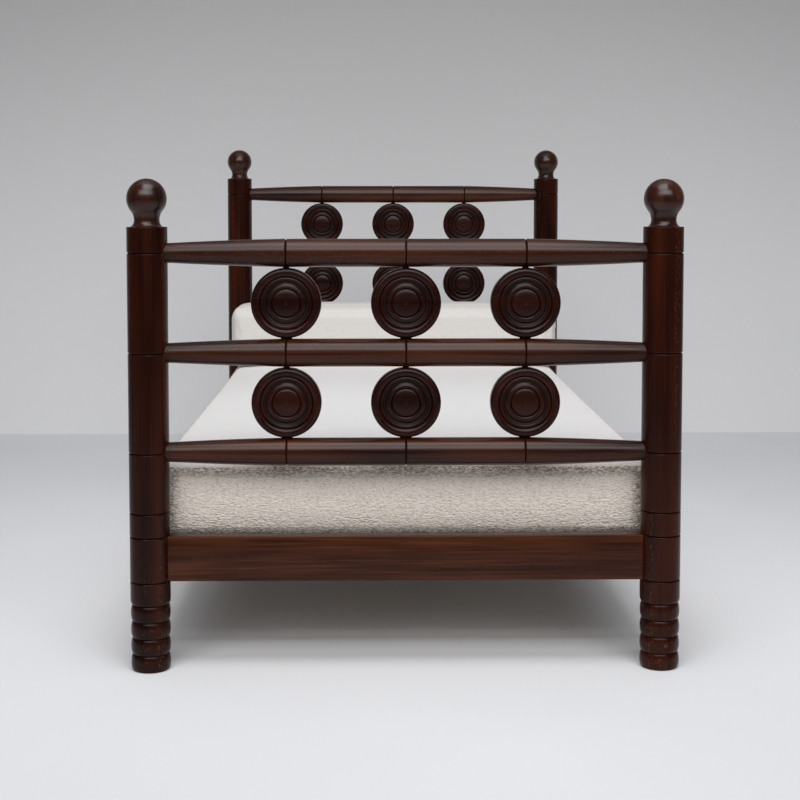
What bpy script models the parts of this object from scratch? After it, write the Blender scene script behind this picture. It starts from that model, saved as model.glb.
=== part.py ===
"""Single bed of dark turned wood.

Two ends, each of two round posts, three spindle rails and two rows of ringed roundels, stand on bobbin feet.
Side rails hook into the posts and carry ledgers, slats, a mattress and a bolster.

X runs across the bed, Y from foot to head and Z up. The origin is on the floor under the middle of the bed.
All sizes are in metres.
"""

import math

import bmesh
import bpy

# Layout of the frame
POST_SPACING = 0.983  # across the bed, post axis to post axis
POST_DISTANCE = 1.980  # along the bed, foot post axis to head post axis
HEAD_RISE = 0.120  # how much taller the head end is than the foot end
FIT = 0.0003  # gap between a piece and its seat

# Posts, from the floor up
POST_DIAMETER = 0.077
BOBBIN_COUNT = 4
BOBBIN_HEIGHT = 0.032
BOBBIN_DIAMETER = 0.0758
BOBBIN_WAIST_DIAMETER = 0.067
ANKLE_HEIGHT = 0.045  # plain shaft between the bobbins and the board
ANKLE_ROUNDING = 0.009  # rounded lower edge of that shaft
BAND_HEIGHT = 0.046  # from the board's top edge to the groove above it
LOWER_RAIL_RISE = 0.115  # from that groove to the lower spindle rail at the foot end
COLLAR_HEIGHT = 0.0495  # from the top spindle rail to the post's top face
COLLAR_EASE = 0.001
POST_GROOVE_WIDTH = 0.0036
POST_GROOVE_DEPTH = 0.0024

# Finials
BALL_DIAMETER = 0.076
NECK_DIAMETER = 0.048
COVE_HEIGHT = 0.0132  # from the post's top face to the narrowest part of the neck
COVE_SPREAD = 0.009  # how far the neck flares out where it meets the post
NECK_SWEEP = 0.027  # radius of the hollow curve between neck and ball
SPIGOT_DIAMETER = 0.024
SPIGOT_LENGTH = 0.036

# Spindle rails
RAIL_SPACING = 0.1905  # rail axis to rail axis, upwards
RAIL_DIAMETER = 0.0537
RAIL_END_DIAMETER = 0.0376
RAIL_SEAT = 0.026  # how deep a rail's end sits in the post
RAIL_GROOVE_WIDTH = 0.0038
RAIL_GROOVE_DEPTH = 0.0025

# Roundels
ROUNDEL_COUNT = 3
ROUNDEL_SPACING = 0.228
ROUNDEL_THICKNESS = 0.030
ROUNDEL_GAP = 0.0015  # daylight between a roundel and the rails
RIM_DROP = 0.0045  # how far the outer edge lies below the crown of the outer ring
VALLEY_DEPTH = 0.0034  # depth of the cuts between the rings
BOSS_DROP = 0.0022  # how far the middle boss lies below the outer ring
DOWEL_DIAMETER = 0.012
DOWEL_SEAT = 0.014

# End boards
BOARD_HEIGHT = 0.087
BOARD_THICKNESS = 0.028
BOARD_HOUSING = 0.0085  # how deep the whole board's end is let into the post
BOARD_TENON_LENGTH = 0.017
BOARD_TENON_SHOULDER = 0.013  # above and below the tenon
BOARD_TENON_CHEEK = 0.007  # in front of and behind the tenon

# Side rails, ledgers and slats
SIDE_RAIL_HEIGHT = 0.075  # its lower edge is level with the end boards, and the mattress lies over it
SIDE_RAIL_THICKNESS = 0.024
SIDE_RAIL_SHIFT = 0.0095  # how far outside the post axis a side rail's middle lies
SIDE_RAIL_HOUSING = 0.0085
SLAT_RISE = 0.002  # from the side rail's top edge up to the slats' top
SLAT_COUNT = 14
SLAT_WIDTH = 0.070
SLAT_THICKNESS = 0.018
SLAT_SIDE_GAP = 0.001
LEDGER_WIDTH = 0.028
LEDGER_HEIGHT = 0.030
LEDGER_END_GAP = 0.010  # from a post to the ledger's end
SLAT_END_MARGIN = 0.012  # from the ledger's end to the first slat

# Bed fittings
PLATE_MARGIN = 0.0065  # from a plate's end to the side rail's edge
PLATE_WIDTH = 0.016
PLATE_THICKNESS = 0.003
HOOK_THICKNESS = 0.005
HOOK_HEIGHT = 0.011
HOOK_DROP = 0.006
HOOK_LIP = 0.005
HOOK_CLEARANCE = 0.001

# Mattress and bolster
MATTRESS_WIDTH = 1.005
MATTRESS_THICKNESS = 0.140
MATTRESS_CROWN = 0.006
MATTRESS_END_GAP = 0.003
MATTRESS_ROUNDING = 0.026
MATTRESS_SOLE_ROUNDING = 0.012  # height of the rounding along the lower edges
MATTRESS_DRAW = 0.005  # how far the sides draw in between the corners
BOLSTER_OVERHANG = 0.0025  # past the mattress at each side
BOLSTER_DEPTH = 0.198
BOLSTER_HEIGHT = 0.197
BOLSTER_CROWN = 0.006
BOLSTER_BACK_GAP = 0.003
BOLSTER_ROUNDING = 0.022
BOLSTER_SOLE_ROUNDING = 0.012
BOLSTER_DRAW = 0.004

# How many flats stand for a round, and how many strips for a soft face
POST_SIDES = 16
FINIAL_SIDES = 16
RAIL_SIDES = 12
ROUNDEL_SIDES = 16
DOWEL_SIDES = 8
BALL_STEPS = 7
SWEEP_STEPS = 2
MATTRESS_STRIPS = (10, 14, 4)
BOLSTER_STRIPS = (12, 4, 4)
MERGE = 0.00001
SMOOTH_ANGLE = math.radians(40)

# Worked out from the sizes above
POST_RADIUS = POST_DIAMETER / 2
HALF_SPACING = POST_SPACING / 2
HALF_DISTANCE = POST_DISTANCE / 2
ANKLE_LEVEL = BOBBIN_COUNT * BOBBIN_HEIGHT
BOARD_BOTTOM = ANKLE_LEVEL + ANKLE_HEIGHT
BOARD_TOP = BOARD_BOTTOM + BOARD_HEIGHT
BAND_LEVEL = BOARD_TOP + BAND_HEIGHT
ROUNDEL_RADIUS = (RAIL_SPACING - RAIL_DIAMETER) / 2 - ROUNDEL_GAP
SIDE_RAIL_TOP = BOARD_BOTTOM + SIDE_RAIL_HEIGHT
SLAT_TOP = SIDE_RAIL_TOP + SLAT_RISE
SIDE_RAIL_X = HALF_SPACING + SIDE_RAIL_SHIFT
SIDE_RAIL_INNER = SIDE_RAIL_X - SIDE_RAIL_THICKNESS / 2
HOUSING_REACH = POST_RADIUS - SIDE_RAIL_HOUSING  # from a post's axis to the floor of the side rail's housing
SIDE_RAIL_REACH = HOUSING_REACH + FIT
FITTING_LEVEL = BOARD_BOTTOM + SIDE_RAIL_HEIGHT / 2
PLATE_HEIGHT = SIDE_RAIL_HEIGHT - 2 * PLATE_MARGIN
HOOK_SPACING = PLATE_HEIGHT / 2
PAST = 0.02  # how far a cutter runs out past the face that it opens


def clear_scene():
    for obj in list(bpy.data.objects):
        bpy.data.objects.remove(obj, do_unlink=True)


def finish(name, colour, roughness, metallic=0.0):
    material = bpy.data.materials.new(name)
    material.use_nodes = True
    shader = material.node_tree.nodes["Principled BSDF"]
    shader.inputs["Base Color"].default_value = (*colour, 1.0)
    shader.inputs["Roughness"].default_value = roughness
    shader.inputs["Metallic"].default_value = metallic
    return material


def add_empty(name, location, turn=0.0):
    empty = bpy.data.objects.new(name, None)
    bpy.context.scene.collection.objects.link(empty)
    empty.location = location
    empty.rotation_euler = (0.0, 0.0, turn)
    return empty


def add_object(name, bm, parent, location, rotation=(0.0, 0.0, 0.0), material=None):
    mesh = bpy.data.meshes.new(name)
    bm.to_mesh(mesh)
    bm.free()
    obj = bpy.data.objects.new(name, mesh)
    bpy.context.scene.collection.objects.link(obj)
    obj.parent = parent
    obj.location = location
    obj.rotation_euler = rotation
    if material:
        mesh.materials.append(material)
    return obj


def turned(name, profile, sides, parent, location, rotation=(0.0, 0.0, 0.0), material=None):
    """A lathe piece about its own Z axis. The profile holds (radius, height) pairs from the top down."""
    bm = bmesh.new()
    verts = [bm.verts.new((radius, 0.0, height)) for radius, height in profile]
    edges = [bm.edges.new(pair) for pair in zip(verts, verts[1:])]
    bmesh.ops.spin(
        bm,
        geom=verts + edges,
        cent=(0.0, 0.0, 0.0),
        axis=(0.0, 0.0, 1.0),
        angle=2 * math.pi,
        steps=sides,
        use_merge=True,
    )
    bmesh.ops.remove_doubles(bm, verts=bm.verts, dist=MERGE)
    bmesh.ops.recalc_face_normals(bm, faces=bm.faces)
    obj = add_object(name, bm, parent, location, rotation, material)
    obj.data.shade_smooth()
    obj.data.set_sharp_from_angle(angle=SMOOTH_ANGLE)
    return obj


def rod(name, radius, length, sides, parent, location, rotation=(0.0, 0.0, 0.0)):
    """A plain round bar about its own Z axis, from its location upwards."""
    profile = [(0.0, length), (radius, length), (radius, 0.0), (0.0, 0.0)]
    return turned(name, profile, sides, parent, location, rotation)


def block(name, low, high, parent, material=None):
    """A box between two opposite corners."""
    bm = bmesh.new()
    bmesh.ops.create_cube(bm, size=1.0)
    size = [top - bottom for bottom, top in zip(low, high)]
    centre = [(top + bottom) / 2 for bottom, top in zip(low, high)]
    bmesh.ops.scale(bm, vec=size, verts=bm.verts)
    return add_object(name, bm, parent, centre, material=material)


def combine(obj, tool, operation):
    """Cuts a tool's shape from a piece, or joins it on, and leaves the tool as a guide."""
    modifier = obj.modifiers.new(tool.name, "BOOLEAN")
    modifier.operation = operation
    modifier.solver = "EXACT"
    modifier.object = tool
    tool.hide_render = True
    tool.display_type = "WIRE"


def grooved(radius, levels, width, depth):
    """Profile points of V grooves cut in a plain shaft, from the top down."""
    points = []
    for level in sorted(levels, reverse=True):
        points.append((radius, level + width / 2))
        points.append((radius - depth, level))
        points.append((radius, level - width / 2))
    return points


def rail_levels(rise):
    """Heights of the lower, middle and top spindle rail of an end that stands this much taller."""
    lower = BAND_LEVEL + LOWER_RAIL_RISE + rise
    return [lower, lower + RAIL_SPACING, lower + 2 * RAIL_SPACING]


def post_profile(rise):
    levels = rail_levels(rise)
    top = levels[-1] + COLLAR_HEIGHT
    waist = BOBBIN_WAIST_DIAMETER / 2
    points = [(0.0, top), (POST_RADIUS - COLLAR_EASE, top), (POST_RADIUS, top - COLLAR_EASE)]
    grooves = levels + [BAND_LEVEL, BOARD_TOP, BOARD_BOTTOM]
    points += grooved(POST_RADIUS, grooves, POST_GROOVE_WIDTH, POST_GROOVE_DEPTH)
    for angle in (0.0, math.pi / 4):
        radius = waist + (POST_RADIUS - waist) * math.cos(angle)
        points.append((radius, ANKLE_LEVEL + ANKLE_ROUNDING * (1 - math.sin(angle))))
    swell = BOBBIN_DIAMETER / 2 - waist
    for index in range(BOBBIN_COUNT, 0, -1):
        for step in range(4):
            radius = waist + swell * math.sqrt(math.sin(math.pi * step / 4))
            points.append((radius, (index - step / 4) * BOBBIN_HEIGHT))
    points += [(waist, 0.0), (0.0, 0.0)]
    return points


def cut_rail_sockets(post, rise, inward, parent):
    """Round blind sockets for the spindle rails' ends, in the post's face towards the other post."""
    radius = RAIL_END_DIAMETER / 2 + FIT / math.cos(math.pi / RAIL_SIDES)
    floor = POST_RADIUS - RAIL_SEAT - FIT
    for index, level in enumerate(rail_levels(rise)):
        start = (post.location.x + inward * floor, 0.0, level)
        turn = (0.0, inward * math.pi / 2, 0.0)
        name = f"{post.name}_socket_{index}"
        socket = rod(name, radius, RAIL_SEAT + PAST, RAIL_SIDES, parent, start, turn)
        combine(post, socket, "DIFFERENCE")


def span(a, b):
    return min(a, b), max(a, b)


def cut_board_mortise(post, inward, parent):
    """The housing for the whole board's end, with the tenon's mortise in its floor."""
    axis = post.location.x
    housing = POST_RADIUS - BOARD_HOUSING - FIT
    mortise = housing - BOARD_TENON_LENGTH
    steps = (
        ("housing", housing, 0.0, 0.0),
        ("mortise", mortise, BOARD_TENON_CHEEK, BOARD_TENON_SHOULDER),
    )
    for word, floor, cheek, shoulder in steps:
        near, far = span(axis + inward * floor, axis + inward * (POST_RADIUS + PAST))
        half = BOARD_THICKNESS / 2 - cheek + FIT
        low = (near, -half, BOARD_BOTTOM + shoulder - FIT)
        high = (far, half, BOARD_TOP - shoulder + FIT)
        combine(post, block(f"{post.name}_{word}", low, high, parent), "DIFFERENCE")


def hook_levels():
    """Underside heights of the two hooks of a bed fitting when they are seated."""
    middle = FITTING_LEVEL - HOOK_HEIGHT / 2
    return [middle - HOOK_SPACING / 2, middle + HOOK_SPACING / 2]


def cut_rail_housing(post, outward, parent):
    """The housing for a side rail's end, with the seat for its slotted plate and room for the hooks."""
    middle = post.location.x + outward * SIDE_RAIL_SHIFT
    plate_floor = HOUSING_REACH - PLATE_THICKNESS - FIT
    room_floor = plate_floor - HOOK_LIP - HOOK_CLEARANCE
    lowest, highest = hook_levels()
    room = (lowest - HOOK_DROP - HOOK_CLEARANCE, highest + HOOK_HEIGHT + HOOK_DROP + HOOK_CLEARANCE)
    plate = (FITTING_LEVEL - PLATE_HEIGHT / 2 - FIT, FITTING_LEVEL + PLATE_HEIGHT / 2 + FIT)
    rail = (BOARD_BOTTOM - FIT, SIDE_RAIL_TOP + FIT)
    steps = (
        ("rail_housing", SIDE_RAIL_THICKNESS / 2 + FIT, HOUSING_REACH, rail),
        ("plate_seat", PLATE_WIDTH / 2 + FIT, plate_floor, plate),
        ("hook_room", HOOK_THICKNESS / 2 + HOOK_CLEARANCE, room_floor, room),
    )
    for word, half, floor, (bottom, top) in steps:
        low = (middle - half, floor, bottom)
        high = (middle + half, POST_RADIUS + PAST, top)
        combine(post, block(f"{post.name}_{word}", low, high, parent), "DIFFERENCE")


def add_slot_plate(name, x, parent, steel):
    """Steel plate in the post, with a slot for each hook to enter and then drop behind."""
    back = HOUSING_REACH - PLATE_THICKNESS
    low = (x - PLATE_WIDTH / 2, back, FITTING_LEVEL - PLATE_HEIGHT / 2)
    high = (x + PLATE_WIDTH / 2, HOUSING_REACH, FITTING_LEVEL + PLATE_HEIGHT / 2)
    plate = block(name, low, high, parent, steel)
    half = HOOK_THICKNESS / 2 + HOOK_CLEARANCE
    for index, level in enumerate(hook_levels()):
        low = (x - half, back - PAST, level - FIT)
        high = (x + half, HOUSING_REACH + PAST, level + HOOK_HEIGHT + HOOK_DROP + HOOK_CLEARANCE)
        combine(plate, block(f"{name}_slot_{index}", low, high, parent), "DIFFERENCE")


def add_post(side_name, side, end_name, parent, rise, woods):
    """One post, its finial and its slotted plate. Side is the local direction away from the other post."""
    name = f"{end_name}_post_{side_name}"
    x = side * HALF_SPACING
    post = turned(name, post_profile(rise), POST_SIDES, parent, (x, 0.0, 0.0), material=woods["post"])
    cut_rail_sockets(post, rise, -side, parent)
    cut_board_mortise(post, -side, parent)
    cut_rail_housing(post, side, parent)
    top = rail_levels(rise)[-1] + COLLAR_HEIGHT
    radius = SPIGOT_DIAMETER / 2 + FIT / math.cos(math.pi / FINIAL_SIDES)
    base = (x, 0.0, top - SPIGOT_LENGTH - FIT)
    bore = rod(f"{name}_bore", radius, SPIGOT_LENGTH + PAST, FINIAL_SIDES, parent, base)
    combine(post, bore, "DIFFERENCE")
    seat = (x, 0.0, top + FIT)
    finial = f"{end_name}_finial_{side_name}"
    turned(finial, finial_profile(), FINIAL_SIDES, parent, seat, material=woods["finial"])
    plate = f"{end_name}_slot_plate_{side_name}"
    add_slot_plate(plate, x + side * SIDE_RAIL_SHIFT, parent, woods["steel"])


def finial_profile():
    """Ball, hollow neck, cove and spigot. Height 0 is the post's top face."""
    ball = BALL_DIAMETER / 2
    neck = NECK_DIAMETER / 2
    sweep_x = neck + NECK_SWEEP
    lift = math.sqrt((ball + NECK_SWEEP) ** 2 - sweep_x**2)
    centre = COVE_HEIGHT + lift
    meet = -math.atan2(lift, sweep_x)
    points = [(0.0, centre + ball)]
    for step in range(1, BALL_STEPS + 1):
        angle = math.pi / 2 + (meet - math.pi / 2) * step / BALL_STEPS
        points.append((ball * math.cos(angle), centre + ball * math.sin(angle)))
    for step in range(1, SWEEP_STEPS + 1):
        angle = (math.pi + meet) + (-meet) * step / SWEEP_STEPS
        points.append((sweep_x + NECK_SWEEP * math.cos(angle), COVE_HEIGHT + NECK_SWEEP * math.sin(angle)))
    for angle in (math.pi / 6, math.pi / 3, math.pi / 2):
        spread = COVE_SPREAD * (1 - math.cos(angle))
        points.append((neck + spread, COVE_HEIGHT * (1 - math.sin(angle))))
    spigot = SPIGOT_DIAMETER / 2
    points += [(spigot, 0.0), (spigot, -SPIGOT_LENGTH), (0.0, -SPIGOT_LENGTH)]
    return points


def roundel_places():
    first = -(ROUNDEL_COUNT - 1) / 2
    return [(first + index) * ROUNDEL_SPACING for index in range(ROUNDEL_COUNT)]


def rail_profile():
    """Spindle rail about its own axis: straight ends in the posts, tapers, then a stout middle with V grooves."""
    end = HALF_SPACING - POST_RADIUS + RAIL_SEAT
    mouth = HALF_SPACING - POST_RADIUS
    thin = RAIL_END_DIAMETER / 2
    points = [(0.0, end), (thin, end), (thin, mouth)]
    points += grooved(RAIL_DIAMETER / 2, roundel_places(), RAIL_GROOVE_WIDTH, RAIL_GROOVE_DEPTH)
    points += [(thin, -mouth), (thin, -end), (0.0, -end)]
    return points


def add_rail(word, level, faces, end_name, parent, wood):
    """One spindle rail, with dowel holes in the faces (1 upper, -1 lower) that carry roundels."""
    name = f"{end_name}_{word}_rail"
    turn = (0.0, math.pi / 2, 0.0)
    rail = turned(name, rail_profile(), RAIL_SIDES, parent, (0.0, 0.0, level), turn, wood)
    radius = DOWEL_DIAMETER / 2 + FIT / math.cos(math.pi / DOWEL_SIDES)
    depth = DOWEL_SEAT + FIT
    for face in faces:
        for index, x in enumerate(roundel_places()):
            edge = level + face * RAIL_DIAMETER / 2
            bottom = edge - depth if face > 0 else edge - PAST
            hole_name = f"{name}_hole_{index}_{face}"
            hole = rod(hole_name, radius, depth + PAST, DOWEL_SIDES, parent, (x, 0.0, bottom))
            combine(rail, hole, "DIFFERENCE")


def roundel_profile():
    """Ringed disc about its own axis, the same on both faces: three rings and a low boss."""
    crown = ROUNDEL_THICKNESS / 2
    valley = crown - VALLEY_DEPTH
    face = (
        (0.00, crown - BOSS_DROP),
        (0.38, valley),
        (0.48, crown - BOSS_DROP / 2),
        (0.60, valley),
        (0.66, crown - BOSS_DROP / 2),
        (0.73, valley),
        (0.86, crown),
        (1.00, crown - RIM_DROP),
    )
    front = [(share * ROUNDEL_RADIUS, height) for share, height in face]
    back = [(radius, -height) for radius, height in reversed(front)]
    return front + back


def add_roundel(name, x, z, parent, wood):
    """One roundel with its dowel, which runs through the disc and stands out into the rails."""
    turn = (math.pi / 2, 0.0, 0.0)
    roundel = turned(name, roundel_profile(), ROUNDEL_SIDES, parent, (x, 0.0, z), turn, wood)
    reach = ROUNDEL_RADIUS + ROUNDEL_GAP + DOWEL_SEAT
    base = (x, 0.0, z - reach)
    dowel = rod(f"{name}_dowel", DOWEL_DIAMETER / 2, 2 * reach, DOWEL_SIDES, parent, base)
    combine(roundel, dowel, "UNION")


def add_board(end_name, parent, wood):
    """Flat board between the posts, with a tenon on each end."""
    name = f"{end_name}_board"
    half = HALF_SPACING - POST_RADIUS + BOARD_HOUSING
    depth = BOARD_THICKNESS / 2
    board = block(name, (-half, -depth, BOARD_BOTTOM), (half, depth, BOARD_TOP), parent, wood)
    reach = half + BOARD_TENON_LENGTH
    cheek = depth - BOARD_TENON_CHEEK
    low = (-reach, -cheek, BOARD_BOTTOM + BOARD_TENON_SHOULDER)
    high = (reach, cheek, BOARD_TOP - BOARD_TENON_SHOULDER)
    combine(board, block(f"{name}_tenon", low, high, parent), "UNION")


def add_end(end_name, parent, rise, sides, woods):
    """A whole bed end. Its own +Y points into the bed; sides maps left and right to local directions."""
    for side_name, side in sides.items():
        add_post(side_name, side, end_name, parent, rise, woods)
    lower, middle, top = rail_levels(rise)
    add_rail("lower", lower, (1,), end_name, parent, woods["rail"])
    add_rail("middle", middle, (1, -1), end_name, parent, woods["rail"])
    add_rail("top", top, (-1,), end_name, parent, woods["rail"])
    add_board(end_name, parent, woods["board"])
    for row, level in (("lower", lower), ("upper", middle)):
        for index, x in enumerate(roundel_places()):
            name = f"{end_name}_roundel_{row}_{index + 1}"
            add_roundel(name, sides["right"] * x, level + RAIL_SPACING / 2, parent, woods["roundel"])


def add_side_rail(side_name, side, parent, woods):
    """Side rail with its hook plates let into both ends, and the ledger on its inner face."""
    name = f"side_rail_{side_name}"
    x = side * SIDE_RAIL_X
    half = SIDE_RAIL_THICKNESS / 2
    end = HALF_DISTANCE - SIDE_RAIL_REACH
    low = (x - half, -end, BOARD_BOTTOM)
    high = (x + half, end, SIDE_RAIL_TOP)
    rail = block(name, low, high, parent, woods["board"])
    for end_name, way in (("foot", -1), ("head", 1)):
        add_hook_plate(f"{end_name}_hook_plate_{side_name}", x, way, rail, parent, woods["steel"])
    near, far = span(side * (SIDE_RAIL_INNER - FIT), side * (SIDE_RAIL_INNER - FIT - LEDGER_WIDTH))
    reach = HALF_DISTANCE - POST_RADIUS - LEDGER_END_GAP
    top = SLAT_TOP - SLAT_THICKNESS - FIT
    low = (near, -reach, top - LEDGER_HEIGHT)
    block(f"slat_ledger_{side_name}", low, (far, reach, top), parent, woods["slat"])


def add_hook_plate(name, x, way, rail, parent, steel):
    """Steel plate in a side rail's end, with two hooks that drop behind the post's slotted plate."""
    face = HALF_DISTANCE - SIDE_RAIL_REACH
    back = face - PLATE_THICKNESS
    bottom = FITTING_LEVEL - PLATE_HEIGHT / 2
    top = FITTING_LEVEL + PLATE_HEIGHT / 2
    half = PLATE_WIDTH / 2
    near, far = span(way * back, way * face)
    plate = block(name, (x - half, near, bottom), (x + half, far, top), parent, steel)
    near, far = span(way * (back - FIT), way * (face + PAST))
    low = (x - half - FIT, near, bottom - FIT)
    high = (x + half + FIT, far, top + FIT)
    combine(rail, block(f"{name}_seat", low, high, parent), "DIFFERENCE")
    lip_near = HALF_DISTANCE - HOUSING_REACH + PLATE_THICKNESS + FIT
    lip_far = lip_near + HOOK_LIP
    thick = HOOK_THICKNESS / 2
    inside = face - PLATE_THICKNESS / 2
    for index, level in enumerate(hook_levels()):
        for word, start, drop in (("stem", inside, 0.0), ("lip", lip_near, HOOK_DROP)):
            near, far = span(way * start, way * lip_far)
            low = (x - thick, near, level - drop)
            high = (x + thick, far, level + HOOK_HEIGHT)
            combine(plate, block(f"{name}_{word}_{index}", low, high, parent), "UNION")


def add_slats(parent, wood):
    reach = SIDE_RAIL_INNER - SLAT_SIDE_GAP
    end = HALF_DISTANCE - POST_RADIUS - LEDGER_END_GAP - SLAT_END_MARGIN - SLAT_WIDTH / 2
    for index in range(SLAT_COUNT):
        y = -end + 2 * end * index / (SLAT_COUNT - 1)
        low = (-reach, y - SLAT_WIDTH / 2, SLAT_TOP - SLAT_THICKNESS)
        high = (reach, y + SLAT_WIDTH / 2, SLAT_TOP)
        block(f"slat_{index + 1:02d}", low, high, parent, wood)


def bulge(share):
    """1 in the middle of a face and 0 at its edges."""
    return 1 - share**4


def cushion(name, size, strips, rounding, sole, crown, draw, parent, base, material):
    """A stuffed block on a flat underside: rounded edges, crowned top, sides drawn in between the corners.

    Its base is the middle of the underside, and sole is the height of the rounding there.
    """
    bm = bmesh.new()
    bmesh.ops.create_cube(bm, size=2.0)
    for axis, count in enumerate(strips):
        for step in range(1, count):
            place = [0.0, 0.0, 0.0]
            place[axis] = math.sin(math.pi / 2 * (2 * step / count - 1))
            normal = [0.0, 0.0, 0.0]
            normal[axis] = 1.0
            geom = bm.verts[:] + bm.edges[:] + bm.faces[:]
            bmesh.ops.bisect_plane(bm, geom=geom, dist=MERGE, plane_co=place, plane_no=normal)
    half = [length / 2 for length in size]
    for vert in bm.verts:
        shares = list(vert.co)
        point = [share * length for share, length in zip(shares, half)]
        soft = (rounding, rounding, rounding if point[2] > 0 else sole)
        core = [max(s - length, min(length - s, p)) for p, length, s in zip(point, half, soft)]
        reach = [p - c for p, c in zip(point, core)]
        far = math.sqrt(sum((r / s) ** 2 for r, s in zip(reach, soft)))
        scale = 1 / max(1.0, far)
        x, y, z = (c + r * scale for c, r in zip(core, reach))
        x -= math.copysign(draw, x) * abs(shares[0]) * bulge(shares[1])
        y -= math.copysign(draw, y) * abs(shares[1]) * bulge(shares[0])
        z += crown * max(0.0, shares[2]) * bulge(shares[0]) * bulge(shares[1])
        vert.co = (x, y, z + half[2])
    bmesh.ops.recalc_face_normals(bm, faces=bm.faces)
    obj = add_object(name, bm, parent, base, material=material)
    obj.data.shade_smooth()
    return obj


def add_soft_goods(parent, cloth):
    length = 2 * (HALF_DISTANCE - POST_RADIUS - MATTRESS_END_GAP)
    size = (MATTRESS_WIDTH, length, MATTRESS_THICKNESS)
    base = (0.0, 0.0, SLAT_TOP + FIT)
    edges = (MATTRESS_ROUNDING, MATTRESS_SOLE_ROUNDING)
    cushion("mattress", size, MATTRESS_STRIPS, *edges, MATTRESS_CROWN, MATTRESS_DRAW, parent, base, cloth)
    back = HALF_DISTANCE - POST_RADIUS - BOLSTER_BACK_GAP
    front_share = (back - BOLSTER_DEPTH) / (length / 2)
    seat = base[2] + MATTRESS_THICKNESS + MATTRESS_CROWN * bulge(front_share)
    base = (0.0, back - BOLSTER_DEPTH / 2, seat + FIT)
    size = (MATTRESS_WIDTH + 2 * BOLSTER_OVERHANG, BOLSTER_DEPTH, BOLSTER_HEIGHT)
    edges = (BOLSTER_ROUNDING, BOLSTER_SOLE_ROUNDING)
    cushion("bolster", size, BOLSTER_STRIPS, *edges, BOLSTER_CROWN, BOLSTER_DRAW, parent, base, cloth)


def main():
    clear_scene()
    woods = {
        "post": finish("post_wood", (0.040, 0.014, 0.008), 0.42),
        "finial": finish("finial_wood", (0.042, 0.015, 0.008), 0.40),
        "rail": finish("rail_wood", (0.048, 0.017, 0.010), 0.40),
        "roundel": finish("roundel_wood", (0.022, 0.010, 0.008), 0.45),
        "board": finish("board_wood", (0.052, 0.019, 0.010), 0.48),
        "slat": finish("slat_wood", (0.480, 0.330, 0.190), 0.70),
        "steel": finish("fitting_steel", (0.420, 0.410, 0.390), 0.45, 1.0),
    }
    cloth = finish("cream_boucle", (0.720, 0.690, 0.640), 0.95)
    foot = add_empty("foot_end", (0.0, -HALF_DISTANCE, 0.0))
    head = add_empty("head_end", (0.0, HALF_DISTANCE, 0.0), math.pi)
    base = add_empty("bed_base", (0.0, 0.0, 0.0))
    add_end("foot", foot, 0.0, {"left": -1, "right": 1}, woods)
    add_end("head", head, HEAD_RISE, {"left": 1, "right": -1}, woods)
    for side_name, side in (("left", -1), ("right", 1)):
        add_side_rail(side_name, side, base, woods)
    add_slats(base, woods["slat"])
    add_soft_goods(base, cloth)


main()
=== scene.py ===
"""Finishes for a single bed of dark turned wood, laid out as a Blender add-on.

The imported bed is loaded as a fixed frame. Finer turned, planed and stuffed pieces are built over it, every
piece gets its finish, and a plain studio with a camera stands round it. All sizes are in metres.
"""

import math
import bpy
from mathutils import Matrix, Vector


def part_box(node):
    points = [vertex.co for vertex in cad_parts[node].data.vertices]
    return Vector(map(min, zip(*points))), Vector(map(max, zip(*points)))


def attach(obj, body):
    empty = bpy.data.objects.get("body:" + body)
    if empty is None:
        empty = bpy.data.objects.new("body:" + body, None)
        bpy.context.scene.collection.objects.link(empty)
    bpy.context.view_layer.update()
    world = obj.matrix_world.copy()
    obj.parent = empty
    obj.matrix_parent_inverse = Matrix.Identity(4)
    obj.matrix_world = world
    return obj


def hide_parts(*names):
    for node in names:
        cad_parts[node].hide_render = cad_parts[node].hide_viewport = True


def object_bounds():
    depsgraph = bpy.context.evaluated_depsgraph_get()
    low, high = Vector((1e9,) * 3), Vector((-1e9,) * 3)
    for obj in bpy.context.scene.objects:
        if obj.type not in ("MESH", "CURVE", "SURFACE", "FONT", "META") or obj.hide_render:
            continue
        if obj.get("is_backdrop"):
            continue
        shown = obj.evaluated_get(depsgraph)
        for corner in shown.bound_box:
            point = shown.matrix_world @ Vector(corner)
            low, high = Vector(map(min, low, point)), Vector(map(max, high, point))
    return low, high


bl_info = {
    "name": "Turned Bed Finishes",
    "version": (1, 0, 0),
    "blender": (4, 5, 0),
    "location": "View3D > Sidebar > Bed",
    "description": "Builds the turned, planed and stuffed pieces of a single bed over its packed frame",
    "category": "Object",
}

import bmesh
import bpy
from mathutils import Matrix, Vector, noise

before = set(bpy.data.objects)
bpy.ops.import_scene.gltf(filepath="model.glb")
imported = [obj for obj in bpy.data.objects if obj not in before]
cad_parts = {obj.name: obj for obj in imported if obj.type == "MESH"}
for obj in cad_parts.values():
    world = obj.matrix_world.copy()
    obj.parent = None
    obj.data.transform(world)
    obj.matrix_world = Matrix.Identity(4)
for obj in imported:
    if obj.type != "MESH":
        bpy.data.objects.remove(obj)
CAD_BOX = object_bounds()

BODY = "root"
ENDS = ("foot", "head")
SIDES = ("left", "right")
RAILS = ("lower", "middle", "top")
ROWS = ("lower", "upper")
PLACES = (1, 2, 3)
PANELS = ("foot", "head", "front")
MERGE = 0.000001
WELD = 0.00001
SHARP = math.radians(38)
QUARTER = math.pi / 2

# Turns that bring a piece's length onto Z, where the grain runs
UPRIGHT = (0, 0, 0)
ACROSS = (0, QUARTER, 0)
LENGTHWAYS = (QUARTER, 0, 0)

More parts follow.
